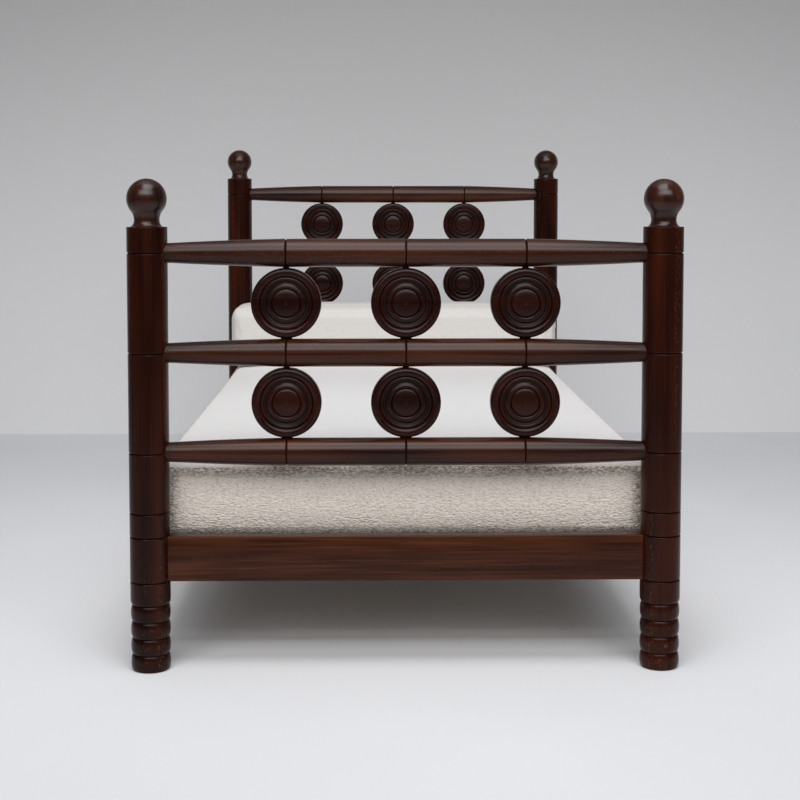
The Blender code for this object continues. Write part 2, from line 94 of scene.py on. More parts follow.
# Flecking, streaking and gloss of each wood
FINISHES = {
    "post": (0.4, 0.15, 0.15),
    "finial": (0.4, 0.15, 0.38),
    "rail": (0.2, 0.35, 0.23),
    "roundel": (0.05, 0.25, 0.18),
    "board": (0.1, 0.6, 0.15),
    "pine": (0.35, 0.6, 0.15),
}

# Near-black painted shade in grooves and other hollows, how much of it shows there, and how much rougher they
# are
GROOVE_PAINTED_SHADE = (0.0015, 0.0010, 0.0008, 1.0)
GROOVE_SHADE_SHARE = 0.9
GROOVE_ROUGHNESS = 0.3

# Shares to which a tint is dimmed: painted shade between the cloth's loops, painted shade along its edges,
# drawn as its darker ground, and in plating and in paint
LOOP_GAP_SHADE = (0.72, 0.64, 0.56)
EDGE_SHADE_DIM = (0.17, 0.11, 0.075)
PLATE_DIM = (0.72, 0.72, 0.72)
PAINT_DIM = (0.97, 0.97, 0.97)

# The cloth's loops: how flat they lie, and how fine and high their curls and how fine their strands are
LOOP_FLATNESS = 2.0
CURL_SCALE = 1.3
CURL_HEIGHT = 1.3
STRAND_SCALE = 2.0
STRAND_WIDTH = 0.5

# Steps along the finials' curves and the rails' tapers
BALL_STEPS = 40
NECK_STEPS = 12
COVE_STEPS = 8
TAPER_STEPS = 16

# The strongest marks of wear, and the strongest painted shade in a hollow, on curved faces
BOBBIN_WEAR = 0.5
BALL_WEAR = 0.8
COVE_PAINTED_SHADE = 0.8

# Upright part of a normal above which cloth counts as top, and below which it counts as sole
FACES_UP = 0.8
FACES_DOWN = -0.9

# How steeply the painted shade along the cloth's edges rises towards an edge
EDGE_SHADE_SLOPE = 1.7

# How straight the end face of a board looks along it
END_FACE = 0.99

# Half the sides of the floor and the backdrop, and the width of the camera's sensor in millimetres
FLOOR_HALF = 20.0
WALL_HALF = 5.0
SENSOR = 36.0


def size_of(node):
    low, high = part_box(node)
    return high - low


def middle_of(node):
    low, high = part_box(node)
    return (low + high) / 2


def shade(red, green, blue):
    """A colour written as it looks on screen, from 0 to 255, turned into the scene's linear values."""
    return tuple((level / 255) ** 2.2 for level in (red, green, blue))


def setting(kind, **limits):
    """A maker of one kind of setting, which takes a description and a default, and later a name."""

    def make(description, default):
        return lambda name: kind(name=name, description=description, default=default, **limits)

    return make


def named(group):
    """Gives every setting of a group its name: the word it goes by here, such as Groove width."""
    for key, make in group.__annotations__.items():
        group.__annotations__[key] = make(key.replace("_", " ").capitalize())
    return group


FLOAT = bpy.props.FloatProperty
VECTOR = bpy.props.FloatVectorProperty
number = setting(FLOAT)
force = setting(FLOAT, min=0.0)
length = setting(FLOAT, min=0.0, precision=4, unit="LENGTH")
share = setting(FLOAT, min=0.0, max=1.0, subtype="FACTOR")
angle = setting(FLOAT, subtype="ANGLE")
power = setting(FLOAT, min=0.0, unit="POWER")
focus = setting(FLOAT, min=1.0, unit="CAMERA")
count = setting(bpy.props.IntProperty, min=1)
colour = setting(VECTOR, size=3, min=0.0, max=1.0, subtype="COLOR")
place = setting(VECTOR, size=3, subtype="XYZ", unit="LENGTH")
sheet = setting(VECTOR, size=2, min=0.0, unit="LENGTH")


@named
class BedTurnings(bpy.types.PropertyGroup):
    """Sizes of the posts, finials, spindle rails and roundels"""

    sides: count("Flats round a turned piece", 96)
    lip: length("Rounding of the edges beside a groove", 0.0005)
    post_diameter: length("Diameter of a post's plain shaft", size_of("foot_post_left").x)
    groove_width: length("Width of the V grooves in the posts", 0.0038)
    groove_depth: length("Depth of the V grooves in the posts", 0.0030)
    bobbin_count: count("Bobbins on each foot", 4)
    bobbin_height: length("Height of one bobbin", 0.032)
    bobbin_diameter: length("Diameter of a bobbin at its fullest", 0.0758)
    bobbin_waist: length("Diameter of the valleys between the bobbins", 0.067)
    ankle_rounding: length("Height of the rounded edge above the bobbins", 0.009)
    band_height: length("From the board's top edge to the groove above it", 0.046)
    ball_diameter: length("Diameter of a finial's ball", 0.076)
    neck_diameter: length("Diameter of a finial's neck", 0.048)
    cove_height: length("From the post's top to the narrowest part of the neck", 0.0132)
    cove_spread: length("How far the neck flares where it meets the post", 0.009)
    neck_sweep: length("Radius of the hollow between neck and ball", 0.027)
    spigot_diameter: length("Diameter of the peg under a finial", 0.024)
    rail_diameter: length("Diameter of a spindle rail in the middle", size_of("foot_top_rail").z)
    rail_end: length("Diameter of a spindle rail at the posts", 0.0376)
    rail_groove_width: length("Width of the V grooves in the rails", 0.0038)
    rail_groove_depth: length("Depth of the V grooves in the rails", 0.0030)
    rail_fullness: share("How much a rail's taper bellies out", 0.45)
    rim_height: length("Height of a roundel's plain rim", 0.016)
    outer_ring: length("Width of a roundel's outer ring", 0.0169)
    thin_bead: length("Width of the bead inside the outer ring", 0.0075)
    wide_bead: length("Width of the bead round the boss", 0.0150)
    ring_depth: length("Depth of the cuts between the rings", 0.0060)
    thin_drop: length("How far the thin bead lies below the outer ring", 0.0022)
    wide_drop: length("How far the wide bead lies below the outer ring", 0.0010)
    valley: length("Width of the flat between the two beads", 0.0028)
    wide_lean: share("Below 1, the wide bead's crest moves towards the boss", 0.55)
    boss_drop: length("How far the boss lies below the outer ring", 0.0008)
    centre_mark: length("Radius of the lathe's centre mark on a boss", 0.0022)
    mark_depth: length("Depth of the centre mark", 0.0009)
    dowel_diameter: length("Diameter of the dowels that hold the roundels", 0.012)
    shoulder_width: length("Width of the flat on which a roundel stands", 0.022)
    shoulder_depth: length("The same flat from front to back", 0.012)
    shoulder_rise: length("How far the flat stands out from the rim", 0.0012)


@named
class BedJoinery(bpy.types.PropertyGroup):
    """Sizes of the boards, side rails, slats and screws"""

    board_ease: length("Rounding of the edges of boards and side rails", 0.0022)
    slat_ease: length("Rounding of the edges of slats and ledgers", 0.003)
    tenon_length: length("Length of the tenons on the end boards", 0.017)
    tenon_shoulder: length("Step above and below a tenon", 0.013)
    tenon_cheek: length("Step in front of and behind a tenon", 0.007)
    screw_count: count("Screws in each ledger", 8)
    screw_head: length("Diameter of a screw's head", 0.0085)
    screw_dome: length("Height of a screw's head", 0.0026)


@named
class BedStuffing(bpy.types.PropertyGroup):
    """How the mattress and the bolster are stuffed and covered"""

    mattress_voxel: length("Size of the mattress's cells before it is stuffed", 0.012)
    bolster_voxel: length("Size of the bolster's cells before it is stuffed", 0.008)
    tuck: length("How much smaller a form starts before it swells", 0.004)
    swell: length("The furthest that the stuffing pushes a point out", 0.004)
    pressure: force("Pressure of the stuffing", 4.0)
    steps: count("Steps of the stuffing", 20)
    corner: length("Radius of the mattress's corners seen from above", 0.055)
    sag: share("How much of the gap over the side rails the mattress's sole fills", 0.75)
    settle: length("How far the bolster's top settles", 0.012)
    side_sole: length("Height of the squared lower edges along the sides", 0.03)
    end_sole: length("Height of the squared lower edges at the ends", 0.018)
    nub_height: length("Height of the uneven nubs in the covers", 0.0007)
    nub_size: length("Size of the uneven nubs in the covers", 0.011)
    loop_size: length("Size of one loop of the yarn", 0.0065)
    # Painted shade along the cloth's edges: how dark it is at most, how far it reaches below the top edges,
    # above the lower edges and beside the upright corners, and the stretch nearest a corner that is shaded
    # through
    edge_shade_most: share("How bare the ground lies where the loops part most", 0.72)
    top_shade_band: length("How far below the top edges the loops part", 0.036)
    sole_shade_band: length("The same above the lower edges", 0.016)
    corner_shade_band: length("The same beside the upright corners", 0.026)
    corner_full_shade: length("Stretch of an upright corner where all loops part", 0.036)
    # These shares also set how much of the warmer side tone, with painted bounce light, and of the dimmer top
    # tone, painted shade, shows
    side_nap_and_bounce: share("How far the loops stand up on the mattress's sides", 1.0)
    top_nap_and_shade: share("How far the loops stand up on the mattress's top and the bolster", 0.12)


@named
class BedColours(bpy.types.PropertyGroup):
    """Stains, cloth and metal"""

    post_deep: colour("Dark streaks of the posts", shade(24, 9, 5))
    post_warm: colour("Light streaks of the posts", shade(63, 29, 16))
    finial_deep: colour("Dark streaks of the finials", shade(27, 11, 6))
    finial_warm: colour("Light streaks of the finials", shade(69, 35, 19))
    rail_deep: colour("Dark streaks of the spindle rails", shade(33, 15, 9))
    rail_warm: colour("Light streaks of the spindle rails", shade(71, 38, 23))
    roundel_deep: colour("Dark streaks of the roundels", shade(25, 11, 8))
    roundel_warm: colour("Light streaks of the roundels", shade(49, 24, 17))
    board_deep: colour("Dark streaks of the boards", shade(40, 20, 13))
    board_warm: colour("Light streaks of the boards", shade(80, 47, 30))
    fleck: colour("Bare wood that shows in flecks and worn spots", shade(128, 80, 46))
    pine_deep: colour("Dark streaks of the slats", shade(172, 158, 138))
    pine_warm: colour("Pale streaks of the slats", shade(206, 195, 177))
    pine_fleck: colour("Resin flecks of the slats", shade(146, 122, 96))
    steel: colour("Plated fittings and screws", shade(176, 175, 172))
    # The yarn's sides carry painted warm bounce light, and its top is a greyer, dimmer copy painted as shade
    cream: colour("Cream yarn where its loops stand up", shade(253, 243, 232))
    brushed: colour("The yarn where it lies flat", shade(225, 225, 226))
    bolster: colour("The bolster's yarn", shade(213, 210, 207))


@named
class BedStudio(bpy.types.PropertyGroup):
    """Floor, backdrop, lights and camera"""

    floor: colour("Pale floor", shade(225, 226, 229))
    wall: colour("Pale backdrop near the floor", shade(232, 232, 233))
    # Painted shade: the backdrop greys with height, from the first height to the second
    wall_high_shade: colour("Greyer backdrop higher up", shade(180, 180, 179))
    wall_shade_start: length("Height at which the backdrop begins to turn grey", 0.4)
    wall_shade_full: length("Height at which the backdrop is at its greyest", 2.6)
    room: colour("Light that the room gives from all sides", shade(104, 104, 106))
    wall_distance: length("From the bed's middle to the backdrop", 1.95)
    grid: angle("Angle to which the grids on the panels keep their light", math.radians(100))
    foot_place: place("Middle of the bright panel over the foot end", (0.0, -1.75, 3.5))
    foot_size: sheet("Width and depth of the foot panel", (2.2, 2.0))
    foot_tilt: angle("How far the foot panel leans", math.radians(20))
    foot_power: power("Power of the foot panel", 22.0)
    head_place: place("Middle of the level panel over the bed", (0.0, 0.2, 3.9))
    head_size: sheet("Width and depth of the head panel", (4.6, 2.0))
    head_tilt: angle("How far the head panel leans", 0.0)
    head_power: power("Power of the head panel", 8.0)
    front_place: place("Middle of the panel high behind the camera", (0.0, -4.6, 3.6))
    front_size: sheet("Width and depth of the front panel", (7.0, 2.2))
    front_tilt: angle("How far the front panel leans", math.radians(51))
    front_power: power("Power of the front panel", 76.0)
    camera_place: place("Where the camera stands", (-0.0600, -3.8507, 0.9002))
    camera_tilt: angle("How far the camera looks down", math.radians(3.611))
    camera_turn: angle("How far the camera looks to the right", 0.0170)
    lens: focus("Focal length", 67.67)
    shift: number("Upright shift of the lens", -0.13)


# Node trees


def set_inputs(tree, node, inputs):
    """Links a node's inputs to sockets, and sets those that are given as plain values."""
    for name, value in inputs.items():
        if isinstance(value, bpy.types.NodeSocket):
            tree.links.new(value, node.inputs[name])
        else:
            node.inputs[name].default_value = value


def add_node(tree, kind, inputs=None, **settings):
    node = tree.nodes.new(kind)
    for name, value in settings.items():
        setattr(node, name, value)
    set_inputs(tree, node, inputs or {})
    return node


def mix(tree, factor, first, second):
    """A blend of two colours. The node's colour sockets share their names, so they go by number."""
    node = add_node(tree, "ShaderNodeMix", {0: factor, 6: first, 7: second}, data_type="RGBA")
    return node.outputs[2]


def maths(tree, operation, first, second, clamp=False):
    node = add_node(tree, "ShaderNodeMath", {0: first, 1: second}, operation=operation, use_clamp=clamp)
    return node.outputs[0]


def spread(tree, value, low, high, bottom=0.0, top=1.0):
    """A value eased from one range to another."""
    inputs = {"Value": value, "From Min": low, "From Max": high, "To Min": bottom, "To Max": top}
    node = add_node(tree, "ShaderNodeMapRange", inputs, interpolation_type="SMOOTHSTEP")
    return node.outputs["Result"]


def object_space(tree):
    return add_node(tree, "ShaderNodeTexCoord").outputs["Object"]


def marked(tree, name):
    """A mark that the mesh carries from point to point."""
    return add_node(tree, "ShaderNodeAttribute", attribute_name=name).outputs["Fac"]


def stretched(tree, vector, along, across=1.0):
    """Coordinates scaled along Z, the way of the grain, and across it."""
    inputs = {"Vector": vector, "Scale": (across, across, along)}
    return add_node(tree, "ShaderNodeMapping", inputs).outputs[0]


def noise_value(tree, vector, scale, detail=2.0, distortion=0.0):
    inputs = {"Vector": vector, "Scale": scale, "Detail": detail, "Distortion": distortion}
    return add_node(tree, "ShaderNodeTexNoise", inputs).outputs[0]


def grain_group():
    """Stained wood with its grain along Z: streaks, fibres, flecks, worn edges, and painted shade in grooves
    and other hollows.
    """
    name = "stained_grain"
    if name in bpy.data.node_groups:
        return bpy.data.node_groups[name]
    tree = bpy.data.node_groups.new(name, "ShaderNodeTree")
    sockets = (
        ("INPUT", "Vector", ("Along",)),
        ("INPUT", "Color", ("Deep", "Warm", "Fleck")),
        ("INPUT", "Float", ("Flecking", "Streaking", "Recess", "Wear")),
        ("OUTPUT", "Color", ("Color",)),
        ("OUTPUT", "Float", ("Roughness", "Height")),
    )
    for way, kind, labels in sockets:
        for label in labels:
            tree.interface.new_socket(name=label, in_out=way, socket_type=f"NodeSocket{kind}")
    given = add_node(tree, "NodeGroupInput").outputs
    along = given["Along"]

    broad = noise_value(tree, stretched(tree, along, 0.05), scale=38.0, detail=1.0, distortion=0.15)
    fine = noise_value(tree, stretched(tree, along, 0.025), scale=230.0, detail=3.0)
    blotch = noise_value(tree, stretched(tree, along, 0.22), scale=16.0, detail=1.0, distortion=0.2)
    fibre = maths(tree, "MULTIPLY", maths(tree, "SUBTRACT", fine, 0.5), given["Streaking"])
    streak = maths(tree, "ADD", maths(tree, "MULTIPLY", broad, 0.5), maths(tree, "MULTIPLY", blotch, 0.5))
    streak = maths(tree, "ADD", streak, fibre)
    body = mix(tree, spread(tree, streak, 0.25, 0.80), given["Deep"], given["Warm"])

    dash = noise_value(tree, stretched(tree, along, 0.35), scale=520.0, detail=0.0)
    band = noise_value(tree, stretched(tree, along, 0.015), scale=48.0, detail=0.0)
    flecks = maths(tree, "MULTIPLY", spread(tree, dash, 0.64, 0.74), spread(tree, band, 0.60, 0.70))
    flecks = maths(tree, "MULTIPLY", flecks, given["Flecking"])
    body = mix(tree, flecks, body, given["Fleck"])

    rub = noise_value(tree, along, scale=170.0, distortion=0.4)
    worn = maths(tree, "MULTIPLY", spread(tree, rub, 0.62, 0.74), given["Wear"])
    body = mix(tree, worn, body, given["Fleck"])
    # Painted shade: the mark of hollows turns the body near-black in grooves, valleys and joints
    body = mix(tree, maths(tree, "MULTIPLY", given["Recess"], GROOVE_SHADE_SHARE), body, GROOVE_PAINTED_SHADE)

    rough = spread(tree, fine, 0.3, 0.7, 0.21, 0.28)
    rougher = maths(tree, "MULTIPLY", given["Recess"], GROOVE_ROUGHNESS)
    rough = maths(tree, "ADD", rough, rougher, clamp=True)
    add_node(tree, "NodeGroupOutput", {"Color": body, "Roughness": rough, "Height": streak})
    return tree


def opaque(tint, dim=(1.0, 1.0, 1.0)):
    """A tint with full alpha, each of its levels dimmed by a share."""
    return (*(level * part for level, part in zip(tint, dim)), 1.0)


def start_material(name):
    material = bpy.data.materials.new(name)
    material.use_nodes = True
    tree = material.node_tree
    return material, tree, tree.nodes["Principled BSDF"]


def wood(name, colours, kind, turn):
    """A wood of one kind. Turn brings the piece's length onto Z, where the grain runs."""
    material, tree, shader = start_material(name)
    flecking, streaking, gloss = FINISHES[kind]
    fleck = colours.pine_fleck if kind == "pine" else colours.fleck
    along = add_node(tree, "ShaderNodeMapping", {"Vector": object_space(tree), "Rotation": turn}).outputs[0]
    inputs = {
        "Along": along,
        "Deep": opaque(getattr(colours, f"{kind}_deep")),
        "Warm": opaque(getattr(colours, f"{kind}_warm")),
        "Fleck": opaque(fleck),
        "Flecking": flecking,
        "Streaking": streaking,
        # Painted shade that the turned pieces carry in their hollows
        "Recess": marked(tree, "recess"),
        "Wear": marked(tree, "wear"),
    }
    grain = add_node(tree, "ShaderNodeGroup", inputs, node_tree=grain_group()).outputs
    relief = {"Height": grain["Height"], "Strength": 0.25, "Distance": 0.0008}
    looks = {
        "Base Color": grain["Color"],
        "Roughness": grain["Roughness"],
        "Normal": add_node(tree, "ShaderNodeBump", relief).outputs["Normal"],
        "Specular IOR Level": gloss,
    }
    set_inputs(tree, shader, looks)
    return material


def plated_steel(name, tint):
    """Zinc plating, a little cloudy."""
    material, tree, shader = start_material(name)
    cloud = noise_value(tree, object_space(tree), scale=260.0, detail=3.0, distortion=0.3)
    tone = mix(tree, spread(tree, cloud, 0.35, 0.65), opaque(tint, PLATE_DIM), opaque(tint))
    rough = spread(tree, cloud, 0.3, 0.7, 0.28, 0.45)
    set_inputs(tree, shader, {"Base Color": tone, "Roughness": rough, "Metallic": 1.0})
    return material


def looped_cloth(name, looped_and_bounce, brushed, loop_size):
    """Looped yarn: small nubs, wider than high, which lie flat on the top. Painted shade darkens the gaps
    between the loops and the edges; the sides take a warmer tone with painted bounce light, and the top a
    greyer, dimmer copy as painted shade.
    """
    material, tree, shader = start_material(name)
    loops = stretched(tree, object_space(tree), LOOP_FLATNESS)
    scale = 1 / loop_size
    inputs = {"Vector": loops, "Scale": scale, "Smoothness": 0.35}
    cells = add_node(tree, "ShaderNodeTexVoronoi", inputs, feature="SMOOTH_F1").outputs["Distance"]
    curls = noise_value(tree, loops, scale=scale * CURL_SCALE, distortion=0.9)
    height = maths(tree, "SUBTRACT", maths(tree, "MULTIPLY", curls, CURL_HEIGHT), cells)
    strands = stretched(tree, loops, 1.0, across=STRAND_WIDTH)
    strand = noise_value(tree, strands, scale=scale * STRAND_SCALE, detail=1.0, distortion=0.6)
    nap = marked(tree, "nap")
    # Painted shade along the edges and beside the corners, drawn as the darker ground between loops
    shaded = maths(tree, "MULTIPLY", spread(tree, strand, 0.38, 0.58), marked(tree, "parted"))
    # Painted shade, warm-tinted, in the gaps between the loops
    tone = mix(tree, spread(tree, strand, 0.51, 0.70), opaque(looped_and_bounce), opaque(looped_and_bounce, LOOP_GAP_SHADE))
    tone = mix(tree, shaded, tone, opaque(looped_and_bounce, EDGE_SHADE_DIM))
    relief = {"Height": maths(tree, "MULTIPLY", height, nap), "Strength": 0.75, "Distance": 0.004}
    looks = {
        # Painted light: the top takes the greyer, dimmer tone and the sides the warmer one
        "Base Color": mix(tree, nap, opaque(brushed), tone),
        "Normal": add_node(tree, "ShaderNodeBump", relief).outputs["Normal"],
        "Roughness": 0.95,
        "Specular IOR Level": 0.15,
        "Sheen Weight": 0.25,
        "Sheen Roughness": 0.5,
    }
    set_inputs(tree, shader, looks)
    return material


# Mesh tools


def add_object(name, data):
    obj = bpy.data.objects.new(name, data)
    bpy.context.scene.collection.objects.link(obj)
    return obj


def new_mesh(name, bm):
    mesh = bpy.data.meshes.new(name)
    bm.to_mesh(mesh)
    bm.free()
    return mesh


def add_mesh(name, bm, material):
    mesh = new_mesh(name, bm)
    mesh.materials.append(material)
    mesh.shade_smooth()
    mesh.set_sharp_from_angle(angle=SHARP)
    return add_object(name, mesh)


def add_piece(name, bm, material, slot, *nodes):
    """A finished piece of the bed, which stands for the CAD nodes it names."""
    piece = add_mesh(name, bm, material)
    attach(piece, BODY)
    if nodes:
        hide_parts(*nodes)


def lathe(profile, turnings):
    """A turned form about Z. A profile point is (radius, height, painted shade of its hollow, wear), from the
    top down.
    """
    bm = bmesh.new()
    recess = bm.verts.layers.float.new("recess")
    wear = bm.verts.layers.float.new("wear")
    verts = []
    for radius, height, sunk, rub in profile:
        vert = bm.verts.new((radius, 0.0, height))
        # The mark of painted shade in hollows
        vert[recess] = sunk
        vert[wear] = rub
        verts.append(vert)
    edges = [bm.edges.new(pair) for pair in zip(verts, verts[1:])]
    whole = {"cent": (0, 0, 0), "axis": (0, 0, 1), "angle": 4 * QUARTER, "steps": turnings.sides}
    bmesh.ops.spin(bm, geom=verts + edges, use_merge=True, **whole)
    bmesh.ops.remove_doubles(bm, verts=bm.verts, dist=MERGE)
    bmesh.ops.recalc_face_normals(bm, faces=bm.faces)
    ease_edges(bm, turnings.lip)
    return bm


def ease_edges(bm, width, segments=2):
    """Rounds every outward edge that is sharper than the smooth limit."""
    sharp = [edge for edge in bm.edges if edge.is_convex and edge.calc_face_angle(0.0) > SHARP]
    form = {"offset": width, "segments": segments, "profile": 0.5, "affect": "EDGES"}
    bmesh.ops.bevel(bm, geom=sharp, material=-1, clamp_overlap=True, **form)


def planed(low, high, ease):
    """A planed block between two corners, with eased edges."""
    bm = bmesh.new()
    bmesh.ops.create_cube(bm, size=1.0)
    bmesh.ops.scale(bm, vec=high - low, verts=bm.verts)
    bmesh.ops.translate(bm, vec=(low + high) / 2, verts=bm.verts)
    ease_edges(bm, ease, segments=3)
    return bm


# A profile point; its third value is painted shade in hollows
def row(radius, height, recess=0.0, wear=0.0):
    return (radius, height, recess, wear)


def turns(steps, whole=QUARTER):
    """Even steps of a turn, from none to just short of the whole."""
    return [whole * step / steps for step in range(steps)]


def hollow(rise, fade=2.6):
    """The painted shade of a point: full in a valley, and none once the form has risen out of it."""
    return max(0.0, 1 - fade * rise)


def grooved(radius, levels, width, depth):
    """V grooves cut in a plain shaft, with the rows beside them that keep the marks close to the groove;
    painted shade darkens each groove's bottom.
    """
    rows = []
    for level in sorted(levels, reverse=True):
        rows += [
            row(radius, level + width),
            row(radius, level + width / 2, wear=0.35),
            # Painted shade at the bottom of the groove
            row(radius - depth, level, recess=1.0),
            row(radius, level - width / 2, wear=0.35),
            row(radius, level - width),
        ]
    return rows


def post_profile(turnings, top, levels, board):
    """A post from its top face down to the floor. Board holds the board's lower and upper edge."""
    radius = turnings.post_diameter / 2
    waist = turnings.bobbin_waist / 2
    swell = turnings.bobbin_diameter / 2 - waist
    pitch = turnings.bobbin_height
    ankle = turnings.bobbin_count * pitch
    rows = [row(0.0, top), row(radius, top, wear=0.5), row(radius, top - turnings.groove_width)]
    grooves = [*levels, board[1] + turnings.band_height, board[1], board[0]]
    rows += grooved(radius, grooves, turnings.groove_width, turnings.groove_depth)
    for turn in turns(steps=8):
        reach = waist + (radius - waist) * math.cos(turn)
        rise = turnings.ankle_rounding * (1 - math.sin(turn))
        # Painted shade deepening into the valley under the rounded edge
        rows.append(row(reach, ankle + rise, recess=(turn / QUARTER) ** 4))
    for index in range(turnings.bobbin_count):
        for turn in turns(steps=18, whole=math.pi):
            fall = pitch * (index + (1 - math.cos(turn)) / 2)
            out = math.sin(turn)
            rub = out**6 * BOBBIN_WEAR * (index + 1) / turnings.bobbin_count
            # Painted shade in the valleys between the bobbins
            rows.append(row(waist + swell * out, ankle - fall, hollow(out), rub))
    # Painted shadow where the foot stands on the floor
    rows += [row(waist, 0.0, recess=1.0), row(0.0, 0.0, recess=1.0)]
    return rows


class BED_OT_posts(bpy.types.Operator):
    """Turn the four posts with their grooves and bobbin feet"""

    bl_idname = "bed.posts"
    bl_label = "Turn Posts"

    def execute(self, context):
        turnings = context.scene.bed_turnings
        finish = wood("post_wood_stained", context.scene.bed_colours, "post", UPRIGHT)
        for end in ENDS:
            levels = [middle_of(f"{end}_{word}_rail").z for word in RAILS]
            low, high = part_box(f"{end}_board")
            for side in SIDES:
                node = f"{end}_post_{side}"
                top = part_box(node)[1].z
                bm = lathe(post_profile(turnings, top, levels, (low.z, high.z)), turnings)
                middle = middle_of(node)
                bmesh.ops.translate(bm, vec=(middle.x, middle.y, 0.0), verts=bm.verts)
                add_piece(f"{node}_turned", bm, finish, "post_wood", node)
        return {"FINISHED"}


def finial_profile(turnings, spigot_length):
    """Ball, hollow neck, cove and spigot. Height 0 is the post's top face."""
    ball = turnings.ball_diameter / 2
    neck = turnings.neck_diameter / 2
    sweep = turnings.neck_sweep
    sweep_x = neck + sweep
    cove = turnings.cove_height
    lift = math.sqrt((ball + sweep) ** 2 - sweep_x**2)
    centre = cove + lift
    meet = -math.atan2(lift, sweep_x)
    rows = [row(0.0, centre + ball, wear=BALL_WEAR)]
    for step in range(1, BALL_STEPS + 1):
        turn = QUARTER + (meet - QUARTER) * step / BALL_STEPS
        rub = max(0.0, math.sin(turn)) ** 6 * BALL_WEAR
        rows.append(row(ball * math.cos(turn), centre + ball * math.sin(turn), wear=rub))
    for step in range(1, NECK_STEPS + 1):
        turn = math.pi + meet - meet * step / NECK_STEPS
        rows.append(row(sweep_x + sweep * math.cos(turn), cove + sweep * math.sin(turn)))
    for step in range(1, COVE_STEPS + 1):
        turn = QUARTER * step / COVE_STEPS
        reach = neck + turnings.cove_spread * (1 - math.cos(turn))
        # Painted shade growing to full where the cove meets the post's top
        rows.append(row(reach, cove * (1 - math.sin(turn)), (step / COVE_STEPS) ** 8 * COVE_PAINTED_SHADE))
    peg = turnings.spigot_diameter / 2
    rows += [row(peg, 0.0), row(peg, -spigot_length), row(0.0, -spigot_length)]
    return rows


class BED_OT_finials(bpy.types.Operator):
    """Turn the ball finials on the posts"""

    bl_idname = "bed.finials"
    bl_label = "Turn Finials"

    def execute(self, context):
        turnings = context.scene.bed_turnings
        finish = wood("finial_wood_stained", context.scene.bed_colours, "finial", UPRIGHT)
        for end in ENDS:
            for side in SIDES:
                node = f"{end}_finial_{side}"
                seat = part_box(f"{end}_post_{side}")[1].z
                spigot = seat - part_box(node)[0].z
                bm = lathe(finial_profile(turnings, spigot), turnings)
                middle = middle_of(node)
                bmesh.ops.translate(bm, vec=(middle.x, middle.y, seat), verts=bm.verts)
                add_piece(f"{node}_turned", bm, finish, "finial_wood", node)
        return {"FINISHED"}


def rail_profile(turnings, end, mouth, grooves):
    """A spindle rail about Z: straight ends in the posts, full tapers, then a stout middle with V grooves."""
    thin = turnings.rail_end / 2
    stout = turnings.rail_diameter / 2
    width = turnings.rail_groove_width
    outer = max(grooves) + width

    def taper(step):
        along = step / TAPER_STEPS
        fullness = turnings.rail_fullness * along * (1 - along)
        return thin + (stout - thin) * (along + fullness), mouth + (outer - mouth) * along

    # Half-strength painted shade where the rail enters the post
    half = [row(0.0, end), row(thin, end), row(thin, mouth, recess=0.5)]
    half += [row(*taper(step)) for step in range(1, TAPER_STEPS)]
    rows = half + grooved(stout, grooves, width, turnings.rail_groove_depth)
    return rows + [row(radius, -height, *marks) for radius, height, *marks in reversed(half)]


class BED_OT_rails(bpy.types.Operator):
    """Turn the spindle rails between the posts"""

    bl_idname = "bed.rails"
    bl_label = "Turn Spindle Rails"

    def execute(self, context):
        turnings = context.scene.bed_turnings
        finish = wood("rail_wood_stained", context.scene.bed_colours, "rail", ACROSS)
        for end in ENDS:
            grooves = [middle_of(f"{end}_roundel_upper_{index}").x for index in PLACES]
            mouth = middle_of(f"{end}_post_right").x - turnings.post_diameter / 2
            for word in RAILS:
                node = f"{end}_{word}_rail"
                profile = rail_profile(turnings, size_of(node).x / 2, mouth, grooves)
                bm = lathe(profile, turnings)
                put = Matrix.Translation(middle_of(node)) @ Matrix.Rotation(QUARTER, 4, "Y")
                bmesh.ops.transform(bm, matrix=put, verts=bm.verts)
                add_piece(f"{node}_turned", bm, finish, "rail_wood", node)
        return {"FINISHED"}


def bead(inner, outer, base, rise, steps, lean=1.0):
    """A round bead on a roundel's face, from its outer edge inwards, with painted shade in the hollows at its
    feet.
    """
    rows = []
    for turn in turns(steps, whole=math.pi):
        along = outer + (inner - outer) * ((1 - math.cos(turn)) / 2) ** lean
        out = math.sin(turn)
        rows.append(row(along, base + rise * out, hollow(out, fade=2.2)))
    return rows


def roundel_profile(turnings, radius, thickness):
    """A ringed disc about Z, alike on both faces: rim, outer ring, two beads and a low boss."""
    crown = thickness / 2
    depth = turnings.ring_depth
    floor = crown - depth
    rim = turnings.rim_height / 2
    ring_inner = radius - turnings.outer_ring
    thin_inner = ring_inner - turnings.thin_bead
    boss = thin_inner - turnings.wide_bead
    ridge = (radius + ring_inner) / 2
    rows = []
    for turn in turns(steps=12):
        rows.append(row(ridge + (radius - ridge) * math.cos(turn), rim + (crown - rim) * math.sin(turn)))
    for turn in turns(steps=10):
        out = math.cos(turn)
        # Painted shade in the valley inside the outer ring
        rows.append(row(ridge + (ring_inner - ridge) * math.sin(turn), floor + depth * out, hollow(out)))
    rows += bead(thin_inner, ring_inner, floor, depth - turnings.thin_drop, steps=12)
    valley = thin_inner - turnings.valley
    rows += bead(boss, valley, floor, depth - turnings.wide_drop, steps=18, lean=turnings.wide_lean)
    dome = depth - turnings.boss_drop
    for turn in turns(steps=14):
        out = math.sin(turn)
        # Painted shade round the foot of the boss
        rows.append(row(boss * math.cos(turn), floor + dome * out, hollow(out)))
    mark = turnings.centre_mark
    pit = floor + dome - turnings.mark_depth
    rows.append(row(mark, floor + dome, wear=0.4))
    # Painted shade in the lathe's centre mark
    rows += [row(mark / 2, pit, recess=0.6), row(0.0, pit, recess=0.6)]
    front = list(reversed(rows))
    return front + [row(reach, -height, *marks) for reach, height, *marks in rows]


